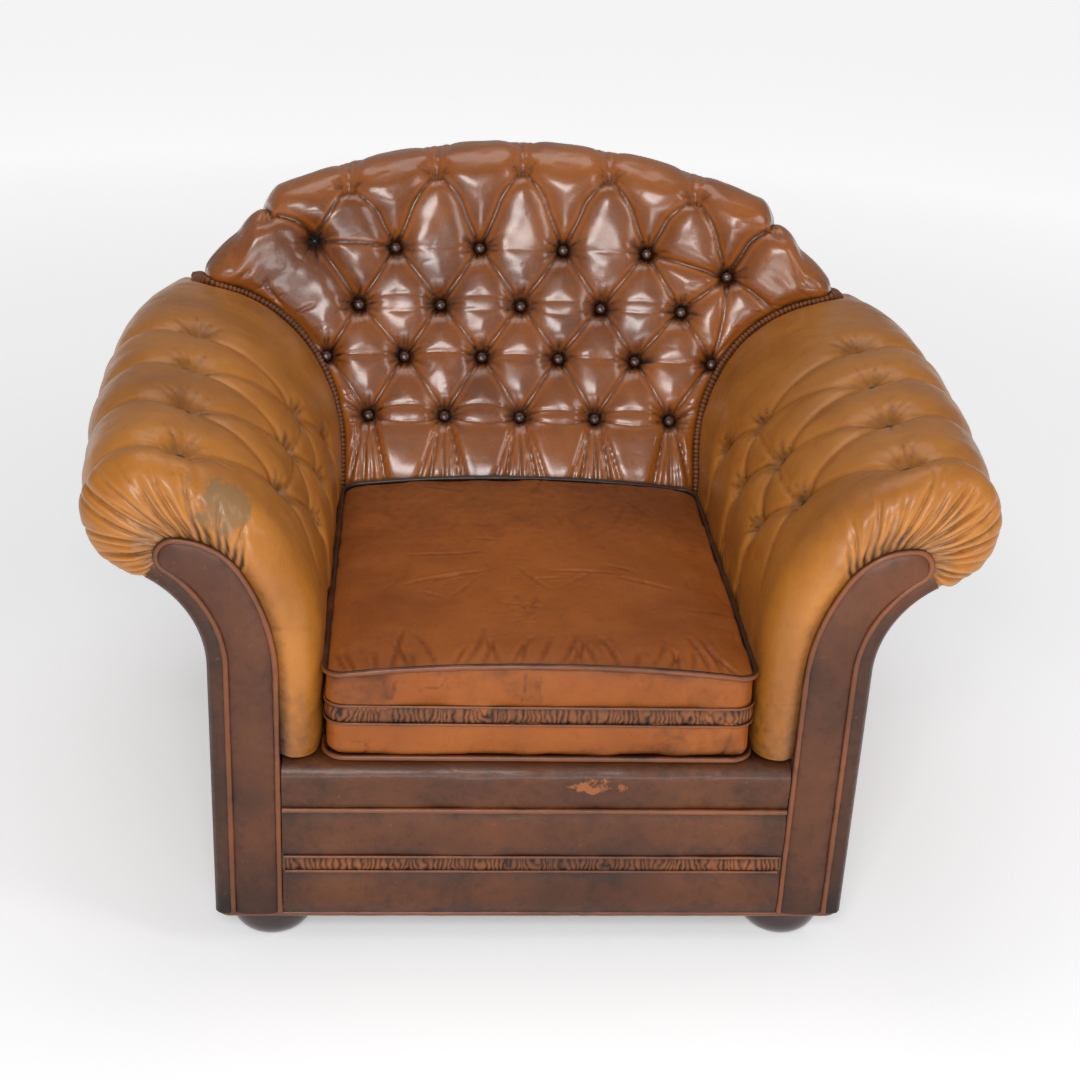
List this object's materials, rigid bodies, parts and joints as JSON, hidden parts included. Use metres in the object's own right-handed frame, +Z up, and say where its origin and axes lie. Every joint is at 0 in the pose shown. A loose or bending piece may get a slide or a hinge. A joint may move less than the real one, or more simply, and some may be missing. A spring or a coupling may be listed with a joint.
{
  "type": "upholstered armchair",
  "caption": "Deep-buttoned leather club armchair with scroll arms, arched back, loose seat cushion and bun feet.",
  "frame": {"origin": "on the floor, at the middle of the footprint", "axes": "+X to the chair's left as it faces you, so right in a front view; +Y towards the back; +Z up. The chair faces -Y."},
  "size_m": [1.1278, 0.9288, 0.837],
  "materials": {
    "leather_tan": "antiqued tan hide, semi-gloss",
    "leather_back": "antiqued red-brown hide, glossy",
    "leather_dark": "dark brown antiqued hide, satin",
    "piping": "leather welt cord, semi-gloss",
    "ruche": "gathered leather strip, dark in its folds",
    "button": "leather-covered button, dark, glossy",
    "foot_wood": "turned hardwood, dark stain, satin lacquer",
    "timber": "raw beech frame timber",
    "steel": "plated steel",
    "spring_steel": "oil-tempered spring wire",
    "webbing": "jute webbing",
    "hessian": "plain hessian",
    "felt": "felted fibre pad",
    "lining": "black woven lining",
    "foam": "foam and fibre filling",
    "brass": "dull brass"
  },
  "bodies": {
    "chair": {"arm_buttons": "button", "arm_facing_left": "leather_dark", "arm_facing_right": "leather_dark", "arm_front_board_left": "timber", "arm_front_board_right": "timber", "arm_pad_left": "leather_tan", "arm_pad_right": "leather_tan", "arm_rear_board_left": "timber", "arm_rear_board_right": "timber", "arm_seam_ruche_left": "ruche", "arm_seam_ruche_right": "ruche", "arm_stuff_rail_left": "timber", "arm_stuff_rail_right": "timber", "arm_top_rail_left": "timber", "arm_top_rail_right": "timber", "arm_webbing": "webbing", "back_buttons": "button", "back_post_left": "timber", "back_post_right": "timber", "back_stuff_rail": "timber", "back_top_rail": "timber", "back_webbing": "webbing", "base_piping": "piping", "corner_blocks": "timber", "corner_screws": "steel", "dust_cover": "lining", "facing_piping_left": "piping", "facing_piping_right": "piping", "foot_bolts": "steel", "foot_front_left": "foot_wood", "foot_front_right": "foot_wood", "foot_rear_left": "foot_wood", "foot_rear_right": "foot_wood", "foot_tee_nuts": "steel", "front_border_panel": "leather_dark", "front_border_piping": "piping", "front_edge_roll": "leather_dark", "front_rail": "timber", "front_ruche_band": "ruche", "inside_back_pad": "leather_back", "outside_arm_panel_left": "leather_dark", "outside_arm_panel_right": "leather_dark", "outside_back_panel": "leather_dark", "rear_rail": "timber", "seat_deck_pad": "felt", "seat_hessian": "hessian", "seat_springs": "spring_steel", "side_rail_left": "timber", "side_rail_right": "timber", "spring_clips": "steel"},
    "seat_cushion": {"cushion_border": "leather_tan", "cushion_bottom_panel": "leather_tan", "cushion_core": "foam", "cushion_piping": "piping", "cushion_ruche_band": "ruche", "cushion_top_panel": "leather_tan", "cushion_zip": "lining"},
    "zip_slider": {"zip_slider": "brass"}
  },
  "joints": [
    {"name": "cushion_lift", "type": "slide", "parent": "chair", "child": "seat_cushion", "axis": [0, 0, 1], "range_m": [0, 0.3]},
    {"name": "zip_slide", "type": "slide", "parent": "seat_cushion", "child": "zip_slider", "axis": [1, 0, 0], "range_m": [0, 0.365]}
  ]
}
